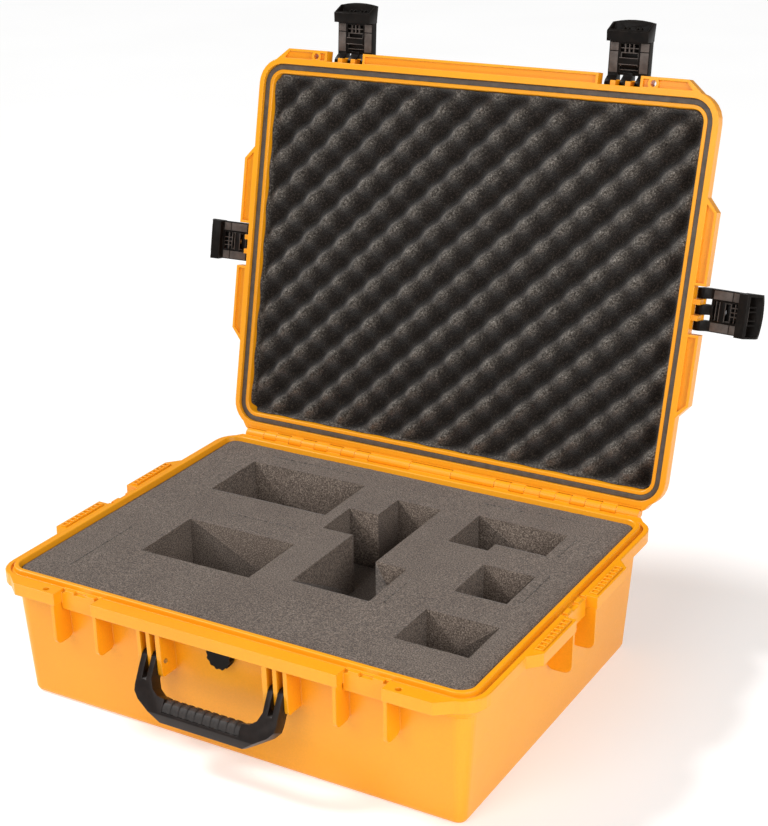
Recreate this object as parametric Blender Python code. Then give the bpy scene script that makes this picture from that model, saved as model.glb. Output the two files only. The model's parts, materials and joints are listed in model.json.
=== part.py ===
"""Hard equipment case: moulded base and lid, four latches, folding handle, foam set.

The case stands open: the lid leans on its stop, the latches are swung out and the handle hangs.
Lengths in this file are millimetres; meshes and places are written in metres through MM.
Frame: origin at the centre of the underside, X along the width, handle side at -Y, Z up.
"""
import math

import bmesh
import bpy
from mathutils import Matrix, Vector

MM = 0.001

# Body
OPENING_X = 279.5            # half width of the opening at the rim
OPENING_Y = 216.0            # half depth of the opening at the rim
OPENING_RADIUS = 14.0
CORNER_STEPS = 7
WALL = 4.0
PARTING_Z = 156.0            # top face of the base flange
SEAM = 0.3                   # gap between base and lid faces
CASE_HEIGHT = 218.4
LID_Z = PARTING_Z + SEAM
FLANGE = 18.3                # overhang of the flange beyond the opening
LAND = 14.5                  # offset where the flange's flat outer land is surely solid
SKIRT = 14.0                 # height of the flange's vertical edge
UNDERCUT = 14.0              # height of the sloped face behind the flange edge
TONGUE_Z = 160.0

# Front rail, padlock tabs and side wings
RAIL_Y = 246.4
RAIL_HALF = 152.3
TAB_INNER = 202.6
TAB_OUTER = 257.8
PADLOCK_X = 217.8
PADLOCK_Y = 239.2
PADLOCK_RADIUS = 3.6
WING_X = 310.8
WING_NEAR = 27.5
WING_FAR = 108.5
WING_TIP = 123.5
SKIN = 3.0                   # thickness of the hollow mouldings
LID_POCKET = 3.5             # depth of the hollows in the lid's mouldings

# Ribs under the flange
RIB_THICK = 4.0
RIB_BOTTOM = 92.5
RIB_ROUND = 9.0

# Hinge
HINGE_Y = 243.2
HINGE_Z = PARTING_Z + SEAM / 2
LID_ANGLE = 102.2            # how far the lid stands open
BARREL_RADIUS = 6.5
HINGE_PIN_RADIUS = 2.5
HINGE_HOLE_RADIUS = 2.75
BASE_KNUCKLES = ((-28.6, 28.6), (88.0, 108.0), (128.0, 148.0), (168.0, 187.6), (206.6, 226.0), (245.6, 273.0))
LID_KNUCKLES = ((29.0, 87.6), (108.4, 127.6), (148.4, 167.6), (188.0, 206.2), (226.4, 245.2))
PIN_START = 22.0
PIN_END = 265.0

# Latches, in their own frame: pivot at the origin, closed, length down -Z, outer face at -Y
LATCH_X = (RAIL_HALF + TAB_INNER) / 2
PIVOT_OUT_FRONT = 20.0       # pivot beyond the opening
PIVOT_OUT_SIDE = 22.0
PIVOT_Z = 179.5
LATCH_ANGLE = 81.4           # how far the latches are swung out
LATCH_HALF = 24.0
LATCH_FRONT = -12.7
LATCH_BACK = -2.7
HOOD_HALF = 24.6
LUG_X = 9.0
LUG_THICK = 6.0
LUG_ROUND = 4.8
BUTTON_Z = -25.0
LATCH_PIN_RADIUS = 1.5
LATCH_HOLE_RADIUS = 1.75
KEEPER_IN = 3.0              # keeper face inside the latches' pivots
KEEPER_BOTTOM = 133.0
KEEPER_TOP = PARTING_Z - 3.0
HOOK_TOP = KEEPER_BOTTOM - PIVOT_Z - 0.5

# Handle, in its own frame: pivot at the origin, arms down -Z, front at -Y
HANDLE_PIVOT_Y = -237.0
HANDLE_PIVOT_Z = 108.0
HANDLE_TILT = 27.5           # how far it hangs out from the wall
HANDLE_FRONT = 10.0
HANDLE_ROUND = 9.5
HANDLE_LUG_BOTTOM = 90.0
LUG_CORNER = 5.0
HANDLE_LUGS = ((63.5, 69.2), (76.4, 81.2), (88.9, 93.4))
PRONGS = ((69.7, 75.9), (81.7, 88.4))
HANDLE_PIN_RADIUS = 2.5
HANDLE_HOLE_RADIUS = 2.8

# Pressure valve
VALVE_Z = 126.5
VALVE_RADIUS = 15.0

# Foam
FOAM_TOP = 157.0
FOAM_GAP = 0.5
LAYER_SPLIT = 84.0
PAD_TOP = 30.0
POCKETS = {
    "camera_one": ((-212, 69), (-50, 69), (-50, 165), (-212, 165)),
    "camera_two": ((-184, -111), (-39, -111), (-39, -16), (-184, -16)),
    "long_lens": ((7, -95), (103, -95), (103, -12), (64, -12), (64, 147), (5, 147), (5, 99), (-34, 99),
                  (-34, 37), (7, 37)),
    "flash_unit": ((110, 74), (160, 74), (160, 93), (222, 93), (222, 152), (110, 152)),
    "short_lens": ((172, -31), (233, -31), (233, 40), (172, 40)),
    "meter": ((165, -153), (250, -153), (250, -82), (165, -82)),
}


# ---------------------------------------------------------------- materials

def material(name, colour, roughness, metallic=0.0):
    """A Principled material with the given colour and finish."""
    made = bpy.data.materials.new(name)
    made.use_nodes = True
    shader = made.node_tree.nodes["Principled BSDF"]
    shader.inputs["Base Color"].default_value = (*colour, 1.0)
    shader.inputs["Roughness"].default_value = roughness
    shader.inputs["Metallic"].default_value = metallic
    return made


# ---------------------------------------------------------------- mesh tools

def clear_scene():
    """Remove every object, so that the script gives the same result each run."""
    for old in list(bpy.data.objects):
        bpy.data.objects.remove(old, do_unlink=True)


def new_object(name, points, faces):
    """A mesh object from points in millimetres, with its faces turned outwards."""
    body = bmesh.new()
    corners = [body.verts.new([value * MM for value in point]) for point in points]
    for face in faces:
        body.faces.new([corners[index] for index in face])
    bmesh.ops.recalc_face_normals(body, faces=body.faces)
    mesh = bpy.data.meshes.new(name)
    body.to_mesh(mesh)
    body.free()
    made = bpy.data.objects.new(name, mesh)
    bpy.context.scene.collection.objects.link(made)
    return made


def skin(name, loops):
    """A closed solid through a stack of loops with equal point counts, capped at both ends."""
    count = len(loops[0])
    points = [point for loop in loops for point in loop]
    faces = [tuple(range(count)), tuple(range(len(points) - count, len(points)))]
    for level in range(len(loops) - 1):
        low = level * count
        high = low + count
        for step in range(count):
            after = (step + 1) % count
            faces.append((low + step, low + after, high + after, high + step))
    return new_object(name, points, faces)


def prism(outline, low, high, axis="Z", name="tool"):
    """A flat outline pushed along an axis: its points are (x, y), (y, z) for X or (x, z) for Y."""
    order = {"Z": lambda a, b, c: (a, b, c), "X": lambda a, b, c: (c, a, b), "Y": lambda a, b, c: (a, c, b)}
    ends = [[order[axis](a, b, level) for a, b in outline] for level in (low, high)]
    return skin(name, ends)


def box(x_range, y_range, z_range, name="tool"):
    """A block between three pairs of limits."""
    (x0, x1), (y0, y1) = x_range, y_range
    return prism(((x0, y0), (x1, y0), (x1, y1), (x0, y1)), *z_range, name=name)


def circle(centre, radius, steps):
    """Points of a circle round a centre."""
    turn = 2 * math.pi / steps
    return [(centre[0] + radius * math.cos(turn * (i + 0.5)), centre[1] + radius * math.sin(turn * (i + 0.5)))
            for i in range(steps)]


def arc(centre, radius, start, end, steps):
    """Points of an arc between two angles in degrees."""
    angles = [math.radians(start + (end - start) * i / steps) for i in range(steps + 1)]
    return [(centre[0] + radius * math.cos(a), centre[1] + radius * math.sin(a)) for a in angles]


def cylinder(centre, radius, low, high, axis, steps=16, name="tool"):
    """A round bar along an axis."""
    return prism(circle(centre, radius, steps), low, high, axis, name)


def combine(target, tools, operation):
    """Unite the target with tools, or cut it with them, one after another."""
    for tool in tools:
        modifier = target.modifiers.new("join", "BOOLEAN")
        modifier.operation = operation
        modifier.solver = "EXACT"
        modifier.object = tool
        graph = bpy.context.evaluated_depsgraph_get()
        result = bpy.data.meshes.new_from_object(target.evaluated_get(graph))
        target.modifiers.remove(modifier)
        target.data = result
        bpy.data.objects.remove(tool, do_unlink=True)
    return target


def unite(target, tools):
    return combine(target, tools, "UNION")


def cut(target, tools):
    return combine(target, tools, "DIFFERENCE")


def mirrored(pair):
    """A range and its mirror image across the middle plane, once if it is its own image."""
    low, high = pair
    return [pair] if low == -high else [pair, (-high, -low)]


def rim_loop(offset, z):
    """The opening's rounded rectangle, grown by an offset, at a height."""
    half_x = OPENING_X + offset
    half_y = OPENING_Y + offset
    radius = OPENING_RADIUS + offset
    points = []
    for side_x, side_y, start in ((1, 1, 0), (-1, 1, 90), (-1, -1, 180), (1, -1, 270)):
        centre = (side_x * (half_x - radius), side_y * (half_y - radius))
        points += [(x, y, z) for x, y in arc(centre, radius, start, start + 90, CORNER_STEPS)]
    return points


# ---------------------------------------------------------------- shared rim plan

def corner_arc(offset, start, end):
    """Points of the front right corner of the rim plan at an offset, in plan."""
    centre = (OPENING_X - OPENING_RADIUS, -(OPENING_Y - OPENING_RADIUS))
    return arc(centre, OPENING_RADIUS + offset, start, end, 4)


def rail_outline():
    inner = OPENING_Y + LAND
    return ((-RAIL_HALF, -inner), (-RAIL_HALF, -RAIL_Y), (RAIL_HALF, -RAIL_Y), (RAIL_HALF, -inner))


def tab_outline(side):
    """Padlock tab: from the latch recess round to the corner."""
    front = [(TAB_INNER, -OPENING_Y - LAND), (TAB_INNER, -RAIL_Y), (TAB_OUTER, -RAIL_Y)]
    plan = front + corner_arc(FLANGE, -28, -28)[:1] + corner_arc(LAND, -32, -90)
    return [(side * x, y) for x, y in plan]


def tab_pocket_outline(side):
    """Hollow inside a padlock tab, a skin's thickness smaller."""
    outer = RAIL_Y - SKIN
    inner = OPENING_Y + FLANGE + 0.7
    plan = ((TAB_INNER + SKIN, -inner), (TAB_INNER + SKIN, -outer), (TAB_OUTER - 1.2, -outer), (263.5, -inner))
    return [(side * x, y) for x, y in plan]


def wing_outline(side_x, side_y):
    inner = OPENING_X + LAND
    tip = OPENING_X + FLANGE
    plan = ((inner, WING_TIP), (tip, WING_TIP), (WING_X, WING_FAR), (WING_X, WING_NEAR), (inner, WING_NEAR))
    return [(side_x * x, side_y * y) for x, y in plan]


def wing_pocket_outline(side_x, side_y):
    inner = OPENING_X + FLANGE + 0.7
    outer = WING_X - SKIN
    plan = ((inner, WING_FAR + 8), (outer, WING_FAR - 1), (outer, WING_NEAR + SKIN), (inner, WING_NEAR + SKIN))
    return [(side_x * x, side_y * y) for x, y in plan]


def gusset_outline(side, start_x, start_y):
    """Corner web between the hinge's end and the flange's rear corner."""
    rear_corner = [(x, -y) for x, y in corner_arc(LAND, -52, -75)]
    plan = [(start_x, OPENING_Y + LAND), (start_x, start_y), (277.5, 236.5), (283.5, 227.5)] + rear_corner
    return [(side * x, y) for x, y in plan]


def sides():
    """The four corners as signs, front pair first."""
    return [(x, y) for y in (-1, 1) for x in (-1, 1)]


def flange_mouldings(low, high):
    """Rail, tabs and wings as solid slabs between two heights."""
    slabs = [prism(rail_outline(), low, high)]
    slabs += [prism(tab_outline(side), low, high) for side in (-1, 1)]
    slabs += [prism(wing_outline(x, y), low, high) for x, y in sides()]
    return slabs


def moulding_pockets(low, high):
    """The hollows that leave the rail, tabs and wings with thin walls."""
    rail = ((-RAIL_HALF + SKIN, -OPENING_Y - FLANGE - 0.7), (-RAIL_HALF + SKIN, -RAIL_Y + SKIN),
            (RAIL_HALF - SKIN, -RAIL_Y + SKIN), (RAIL_HALF - SKIN, -OPENING_Y - FLANGE - 0.7))
    pockets = [prism(rail, low, high)]
    pockets += [prism(tab_pocket_outline(side), low, high) for side in (-1, 1)]
    pockets += [prism(wing_pocket_outline(x, y), low, high) for x, y in sides()]
    return pockets


# ---------------------------------------------------------------- base

def base_profile():
    """Offset from the opening and height, from the underside up the outside and down the inside."""
    skirt_low = PARTING_Z - SKIRT
    return ((-8.0, 0.0), (-4.5, 1.5), (-3.0, 5.0), (WALL, skirt_low - UNDERCUT), (FLANGE, skirt_low),
            (FLANGE, PARTING_Z - 0.8), (FLANGE - 0.8, PARTING_Z), (12.4, PARTING_Z), (11.8, 154.0), (8.8, 154.0),
            (8.2, TONGUE_Z - 0.6), (7.5, TONGUE_Z), (3.4, TONGUE_Z), (2.4, TONGUE_Z - 0.8), (0.0, 150.0),
            (-6.6, 12.0), (-8.4, 6.5), (-13.0, WALL))


def rib(y_outer, y_wall, bottom, top):
    """Side view of a stiffening rib with round lower corners, as (depth, height) points."""
    outer = arc((y_outer - RIB_ROUND, bottom + RIB_ROUND), RIB_ROUND, 0, -90, 4)
    inner = arc((y_wall + RIB_ROUND + 0.5, bottom + RIB_ROUND), RIB_ROUND, -90, -180, 4)
    return [(y_wall, top), (y_outer, top), *outer, *inner]


def front_rib(x_low, x_high, outer, bottom, top):
    shape = [(-depth, z) for depth, z in rib(outer, OPENING_Y + 0.6, bottom, top)]
    return prism(shape, x_low, x_high, "X")


def side_rib(side, y_low, y_high, top):
    shape = [(side * depth, z) for depth, z in rib(WING_X - 1.2, OPENING_X + 0.6, RIB_BOTTOM, top)]
    return prism(shape, y_low, y_high, "Y")


def base_ribs():
    """Ribs beside each latch recess and at the wings' ends."""
    top = PARTING_Z - 3.0
    ribs = []
    for low, high in mirrored((RAIL_HALF - 1.5 - RIB_THICK, RAIL_HALF - 1.5)):
        ribs.append(front_rib(low, high, RAIL_Y - 0.4, RIB_BOTTOM, top))
    for low, high in mirrored((TAB_INNER + 1.5, TAB_INNER + 1.5 + RIB_THICK)):
        ribs.append(front_rib(low, high, RAIL_Y - 0.4, RIB_BOTTOM, top))
    for side in (-1, 1):
        for low, high in mirrored((WING_NEAR + 0.4, WING_NEAR + 0.4 + RIB_THICK)):
            ribs.append(side_rib(side, low, high, top))
    return ribs


def handle_lugs():
    """Three cheeks at each end of the handle; the middle one is shorter."""
    lugs = []
    for index, lug in enumerate(HANDLE_LUGS):
        bottom = HANDLE_LUG_BOTTOM + 5.0 if index == 1 else HANDLE_LUG_BOTTOM
        for low, high in mirrored(lug):
            wall = -(OPENING_Y + 0.6)
            corner = arc((RAIL_Y - 7.5, bottom + LUG_CORNER), LUG_CORNER, 0, -90, 4)
            shape = [(wall, bottom), (wall, 150), (-RAIL_Y + 0.6, 150)] + [(-y, z) for y, z in corner]
            lugs.append(prism(shape, low, high, "X"))
    return lugs


def keeper(turn, out):
    """The ledge that a latch hooks under, turned to its side."""
    half = LATCH_HALF + 1.6
    ledge = box((-half, half), (-out, -0.6), (KEEPER_BOTTOM, PARTING_Z - 1.3))
    ledge.data.transform(turn)
    return ledge


def keeper_room(turn, out):
    """Room for a latch: in front of its keeper, under it and around the two bumps on its top edge."""
    half = LATCH_HALF + 1.1
    room = box((-half, half), (-60, -out), (85, 170))
    notches = [(-half, -20), (-8, 8), (20, half)]
    unite(room, [box((-half, half), (-60, -5.2), (85, KEEPER_BOTTOM))])
    unite(room, [box(pair, (-60, -11.9), (KEEPER_TOP, 170)) for pair in notches])
    room.data.transform(turn)
    return room


def keeper_places():
    """Turn and reach of each keeper: its own frame starts at the opening's edge."""
    places = []
    for _, centre, turn, out in latch_places():
        edge = Matrix.Translation(Vector((centre.x, centre.y, 0.0)) * MM) @ Matrix.Rotation(turn, 4, "Z")
        places.append((edge @ Matrix.Translation((0.0, out * MM, 0.0)), out - KEEPER_IN))
    return places


def knuckle(x_range, z_toward):
    """One hinge knuckle with the web that joins it to its shell, below or above the seam."""
    low, high = x_range
    web_z = sorted((HINGE_Z + z_toward * 0.5, HINGE_Z + z_toward * BARREL_RADIUS))
    web = box((low, high), (OPENING_Y + FLANGE - 4, HINGE_Y), web_z)
    return unite(cylinder((HINGE_Y, HINGE_Z), BARREL_RADIUS, low, high, "X"), [web])


def hinge_side(ranges, z_toward):
    """All knuckles of one shell."""
    return [knuckle(part, z_toward) for pair in ranges for part in mirrored(pair)]


def pin_holes(radius):
    """Bores for both hinge pins."""
    reach = (PIN_START - 1, PIN_END + 1)
    return [cylinder((HINGE_Y, HINGE_Z), radius, low, high, "X", 12) for low, high in mirrored(reach)]


def hinge_strip(low, high):
    """The ledge along the rear flange that closes the view between the knuckles."""
    return box((-274, 274), (OPENING_Y + 15, HINGE_Y - BARREL_RADIUS - 0.4), (low, high))


def padlock_bosses(low, high):
    return [cylinder((side * PADLOCK_X, -PADLOCK_Y), PADLOCK_RADIUS + SKIN, low, high, "Z") for side in (-1, 1)]


def padlock_holes(low, high):
    return [cylinder((side * PADLOCK_X, -PADLOCK_Y), PADLOCK_RADIUS, low, high, "Z") for side in (-1, 1)]


def base_shell():
    """Moulded tub with its flange, tongue, rail, tabs, wings, ribs, keepers, lugs and hinge knuckles."""
    low = PARTING_Z - SKIRT
    shell = skin("base_shell", [rim_loop(offset, z) for offset, z in base_profile()])
    unite(shell, flange_mouldings(low, PARTING_Z))
    unite(shell, [prism(gusset_outline(side, 262, 239), low, PARTING_Z) for side in (-1, 1)])
    cut(shell, moulding_pockets(low - 1, PARTING_Z - SKIN))
    unite(shell, padlock_bosses(low, PARTING_Z - 1))
    unite(shell, base_ribs() + handle_lugs())
    for turn, out in keeper_places():
        unite(shell, [keeper(turn, out)])
        cut(shell, [keeper_room(turn, out)])
    unite(shell, [hinge_strip(PARTING_Z - 6.0, PARTING_Z - 1.1)])
    unite(shell, hinge_side(BASE_KNUCKLES, -1))
    cut(shell, pin_holes(HINGE_PIN_RADIUS + 0.15))
    cut(shell, padlock_holes(low - 5, PARTING_Z + 5))
    pivot = (HANDLE_PIVOT_Y, HANDLE_PIVOT_Z)
    reach = (HANDLE_LUGS[0][0] - 2, HANDLE_LUGS[2][1] - 2)
    holes = [cylinder(pivot, HANDLE_HOLE_RADIUS, a, b, "X", 12) for a, b in mirrored(reach)]
    cut(shell, holes)
    valve_seat = cylinder((0, VALVE_Z), VALVE_RADIUS + 1.2, -(RAIL_Y - SKIN), -(OPENING_Y + WALL + 0.1), "Y", 24)
    valve_bore = cylinder((0, VALVE_Z), 8.4, -(OPENING_Y + 12), -(OPENING_Y - 12), "Y", 20)
    return cut(shell, [valve_seat, valve_bore])


# ---------------------------------------------------------------- lid, drawn closed

def lid_profile():
    """Offset from the opening and height, from the top down the outside and up the inside."""
    skirt_high = LID_Z + SKIRT
    lip = TONGUE_Z + 0.35
    return ((-13.0, CASE_HEIGHT), (-9.4, CASE_HEIGHT - 1.3), (-7.6, CASE_HEIGHT - 4.8), (WALL, skirt_high + UNDERCUT),
            (FLANGE, skirt_high), (FLANGE, LID_Z + 0.8), (FLANGE - 0.8, LID_Z), (11.5, LID_Z), (11.4, 163.4),
            (4.5, 163.4), (4.5, lip), (0.8, lip), (0.0, lip + 0.8), (-5.5, 209.0), (-7.2, 212.6), (-11.0, 214.4))


def latch_lug(side_turn, centre, offset, out):
    """A lid lug that carries a latch, turned to its side of the case."""
    wall = out - 2.5
    foot = out - 13.0
    shape = [(-3.5, -18.5)] + arc((0, 0), LUG_ROUND, 223, 90, 6)
    shape += [(wall, 6.5), (wall, -12.0), (foot, -12.0), (foot, -18.5)]
    lug = prism(shape, offset - LUG_THICK / 2, offset + LUG_THICK / 2, "X")
    lug.data.transform(Matrix.Translation(centre * MM) @ Matrix.Rotation(side_turn, 4, "Z"))
    return lug


def latch_places():
    """Name, pivot on the closed case, turn about Z and reach beyond the opening of each latch."""
    front_y = -(OPENING_Y + PIVOT_OUT_FRONT)
    side_x = OPENING_X + PIVOT_OUT_SIDE
    quarter = math.pi / 2
    return (("front_left", Vector((-LATCH_X, front_y, PIVOT_Z)), 0.0, PIVOT_OUT_FRONT),
            ("front_right", Vector((LATCH_X, front_y, PIVOT_Z)), 0.0, PIVOT_OUT_FRONT),
            ("side_left", Vector((-side_x, 0.0, PIVOT_Z)), -quarter, PIVOT_OUT_SIDE),
            ("side_right", Vector((side_x, 0.0, PIVOT_Z)), quarter, PIVOT_OUT_SIDE))


def latch_pin_bore(centre, turn):
    bore = cylinder((0, 0), LATCH_HOLE_RADIUS, -LUG_X - 6, LUG_X + 6, "X", 12)
    bore.data.transform(Matrix.Translation(centre * MM) @ Matrix.Rotation(turn, 4, "Z"))
    return bore


def lid_shell():
    """Moulded lid with its flange, hollow rail and wings, latch lugs and hinge knuckles."""
    high = LID_Z + SKIRT
    shell = skin("lid_shell", [rim_loop(offset, z) for offset, z in lid_profile()])
    unite(shell, flange_mouldings(LID_Z, high))
    unite(shell, [prism(gusset_outline(side, 273.6, 238.5), LID_Z, high) for side in (-1, 1)])
    unite(shell, [hinge_strip(LID_Z + 0.4, high - 0.4)])
    cut(shell, moulding_pockets(LID_Z - 1, LID_Z + LID_POCKET))
    unite(shell, padlock_bosses(LID_Z, high - 1))
    cut(shell, padlock_holes(LID_Z - 5, high + 5))
    unite(shell, hinge_side(LID_KNUCKLES, 1))
    cut(shell, pin_holes(HINGE_HOLE_RADIUS))
    for _, centre, turn, out in latch_places():
        unite(shell, [latch_lug(turn, centre, LUG_X * hand, out) for hand in (-1, 1)])
        cut(shell, [latch_pin_bore(centre, turn)])
    return shell


def ring(name, profile):
    """A closed ring round the rim: the profile's last point joins its first."""
    loops = [rim_loop(offset, z) for offset, z in profile]
    count = len(loops[0])
    points = [point for loop in loops for point in loop]
    faces = []
    for level in range(len(loops)):
        low = level * count
        high = (level + 1) % len(loops) * count
        for step in range(count):
            after = (step + 1) % count
            faces.append((low + step, low + after, high + after, high + step))
    return new_object(name, points, faces)


def lid_gasket():
    """Rubber seal in the lid's channel."""
    return ring("lid_gasket", ((4.9, 160.7), (6.2, 160.4), (9.7, 160.4), (11.0, 160.7), (11.0, 163.0), (4.9, 163.0)))


# ---------------------------------------------------------------- foam

def inner_offset(z):
    """Offset of the tub's inner wall at a height, from its draft."""
    return -0.0478 * max(0.0, 150.0 - z)


def foam_block(name, low, high):
    """A foam layer that follows the tub's draft with a little room all round."""
    loops = [rim_loop(inner_offset(z) - FOAM_GAP, z) for z in (low, high)]
    return skin(name, loops)


def foam_base_pad():
    """Bottom pad, drawn in along its lower edge to clear the tub's inner fillet."""
    top = rim_loop(inner_offset(PAD_TOP) - FOAM_GAP, PAD_TOP)
    return skin("foam_base_pad", [rim_loop(-13.0, WALL + SEAM), rim_loop(-9.5, 8.5), top])


def foam_top_layer():
    """Pluck foam with the pockets cut right through, and a relief for the valve's nut."""
    foam = foam_block("foam_top_layer", LAYER_SPLIT + SEAM, FOAM_TOP)
    cut(foam, [prism(outline, LAYER_SPLIT - 5, FOAM_TOP + 5) for outline in POCKETS.values()])
    relief = box((-15, 15), (-OPENING_Y - 5, -OPENING_Y + 7.5), (VALVE_Z - 15, VALVE_Z + 15))
    return cut(foam, [relief])


def lid_foam():
    """Pad in the lid; its waved face looks down at the closed case."""
    return skin("lid_foam", [rim_loop(-0.7, 161.6), rim_loop(-6.1, 209.0), rim_loop(-12.0, 213.9)])


# ---------------------------------------------------------------- latch, in its own frame

def latch_knuckle(low, high):
    """One knuckle of a latch, rounded at the back and flat where the hand presses."""
    shape = [(LATCH_BACK, -12.0), (LATCH_FRONT, -12.0), (LATCH_FRONT, -2.5), (-9.5, 3.5)]
    shape += arc((0, 0), 6.3, 110, -70, 7) + [(LATCH_BACK, -9.0)]
    return prism(shape, low, high, "X")


def latch_hood():
    """Hook bar and flared hood, hollow below with four short webs, and an arched lower lip."""
    lip = ((7.6, -58.2), (-14.4, -69.0), (-15.3, -67.0), (LATCH_FRONT, -50.0))
    side = ((LATCH_FRONT, HOOK_TOP), (6.4, HOOK_TOP)) + lip
    hood = prism(side, -HOOD_HALF, HOOD_HALF, "X")
    hollow = ((4.2, -50.4), (-10.2, -50.4), (-12.4, -75.0), (4.6, -75.0))
    web = ((5.0, -50.0), (-11.0, -50.0), (-11.6, -61.5), (5.0, -55.5))
    cut(hood, [prism(hollow, -22.4, 22.4, "X")])
    unite(hood, [prism(web, x - 0.7, x + 0.7, "X") for x in (-10.0, -5.0, 5.0, 10.0)])
    half = HOOD_HALF + 1
    arch = [(half, 0.0), (-half, 0.0)]
    arch += [(half * t, -69.0 + 3.0 * t * t) for t in (-1.0, -0.67, -0.33, 0.0, 0.33, 0.67, 1.0)]
    return combine(hood, [prism(arch, -30.0, 30.0, "Y")], "INTERSECT")


def latch_body():
    """Swinging latch: knuckles, grip plate, hook, hood and the seat of its release spring."""
    body = box((-LATCH_HALF, LATCH_HALF), (LATCH_FRONT, LATCH_BACK), (HOOK_TOP - 1.0, -9.5), "latch_body")
    unite(body, [latch_hood()])
    unite(body, [latch_knuckle(*pair) for pair in ((-LATCH_HALF, -12.5), (-5.5, 5.5), (12.5, LATCH_HALF))])
    lug_slots = [box((sign * LUG_X - 3.5, sign * LUG_X + 3.5), (-5.2, 9.0), (-21.0, -9.0)) for sign in (-1, 1)]
    recess = box((-11.0, 11.0), (-9.5, 9.0), (-44.0, -13.0))
    window = box((-8.7, 8.7), (-20.0, 0.0), (BUTTON_Z - 8.0, BUTTON_Z + 8.0))
    cut(body, lug_slots + [recess, window])
    unite(body, [box((-11.3, 11.3), (-3.2, -1.2), (BUTTON_Z - 4.0, BUTTON_Z + 3.5))])
    return cut(body, [cylinder((0, 0), LATCH_HOLE_RADIUS, -30, 30, "X", 12)])


def latch_button():
    """Press button in the latch's outer face, with the flange that keeps it in."""
    button = box((-8.3, 8.3), (-14.0, -9.0), (BUTTON_Z - 7.6, BUTTON_Z + 7.6), "latch_button")
    flange = box((-10.0, 10.0), (-9.2, -7.8), (BUTTON_Z - 8.6, BUTTON_Z + 8.6))
    grooves = [box((-6.0, 6.0), (-15.0, -13.4), (BUTTON_Z + z - 0.6, BUTTON_Z + z + 0.6)) for z in (-3.0, 0.0, 3.0)]
    return cut(unite(button, [flange]), grooves)


def coil(name, radius, wire, low, high, turns, steps=9, sides_of_wire=4):
    """A spring along Y with closed ends, its wire a small polygon swept along the helix."""
    loops = []
    total = int(turns * steps)
    for i in range(total + 1):
        angle = 2 * math.pi * i / steps
        along = low + wire + (high - low - 2 * wire) * i / total
        out = Vector((math.cos(angle), 0.0, math.sin(angle)))
        ring_points = []
        for k in range(sides_of_wire):
            turn = 2 * math.pi * k / sides_of_wire
            middle = Vector((0.0, along + wire * math.sin(turn), BUTTON_Z))
            ring_points.append(out * (radius + wire * math.cos(turn)) + middle)
        loops.append([tuple(point) for point in ring_points])
    return skin(name, loops)


def latch_pin():
    return cylinder((0, 0), LATCH_PIN_RADIUS, -23.0, 23.0, "X", 12, "latch_pin")


# ---------------------------------------------------------------- handle, in its own frame

def handle_frame():
    """Stiff U-shaped handle with forked arms."""
    outer = [(88.4, 12), (88.4, -31), (87.4, -38), (81.0, -45.5), (52.0, -64.0)]
    inner = [(47.0, -38.0), (58.0, -36.6), (65.5, -31.0), (69.9, -21.0), (69.7, 12)]
    outline = outer + [(-x, z) for x, z in reversed(outer)] + [(-x, z) for x, z in reversed(inner)] + inner
    frame = prism(outline, -HANDLE_FRONT - 2, HANDLE_FRONT + 2, "Y", "handle_frame")
    front = [(-HANDLE_ROUND, 0.0), (-HANDLE_FRONT, -12.0), (-HANDLE_FRONT, -55.0), (-3.5, -64.0)]
    back = [(4.0, -64.0), (7.5, -58.0), (7.5, -12.0), (HANDLE_ROUND, 0.0)]
    side = front + back + arc((0, 0), HANDLE_ROUND, 0, 180, 8)[1:-1]
    combine(frame, [prism(side, -95, 95, "X")], "INTERSECT")
    fork = ((-13.0, 12.0), (-13.0, -27.0), (-4.0, -17.0), (12.0, -17.0), (12.0, 12.0))
    slots = [prism(fork, *pair, "X") for pair in mirrored((PRONGS[0][1], PRONGS[1][0]))]
    seat = [box((-48.6, 48.6), (-12, 12), (-42.0, -30.0)), box((-48.6, 48.6), (5.2, 12.0), (-52.0, -30.0))]
    seat += [box((-48.6, 48.6), (-12.0, -7.2), (-52.0, -30.0))]
    bores = [cylinder((0, 0), HANDLE_HOLE_RADIUS, low, high, "X", 12) for low, high in mirrored((60, 95))]
    return cut(frame, slots + seat + bores)


def grip_profile(grow):
    """Section of the grip: a round pad over the bar's top, front and back; its ribs are a little larger."""
    outer = [(-9.6 - grow, -51.5), (-10.3 - grow, -46.0), (-9.0 - grow, -41.5 + grow / 2), (-5.5, -38.6 + grow)]
    outer += [(0.0, -37.7 + grow), (4.6, -38.8 + grow), (7.6 + grow, -42.0), (8.2 + grow, -46.0), (7.6 + grow, -51.5)]
    inner = [(5.5, -51.5), (5.5, -41.7), (-7.5, -41.7), (-7.5, -51.5)]
    return outer + inner


def handle_grip():
    """Soft pad on the handle bar, with nine raised ribs."""
    pad = prism(grip_profile(0.0), -48.2, 48.2, "X", "handle_grip")
    return unite(pad, [prism(grip_profile(0.8), x - 2.4, x + 2.4, "X") for x in range(-40, 41, 10)])


# ---------------------------------------------------------------- pressure valve

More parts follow.
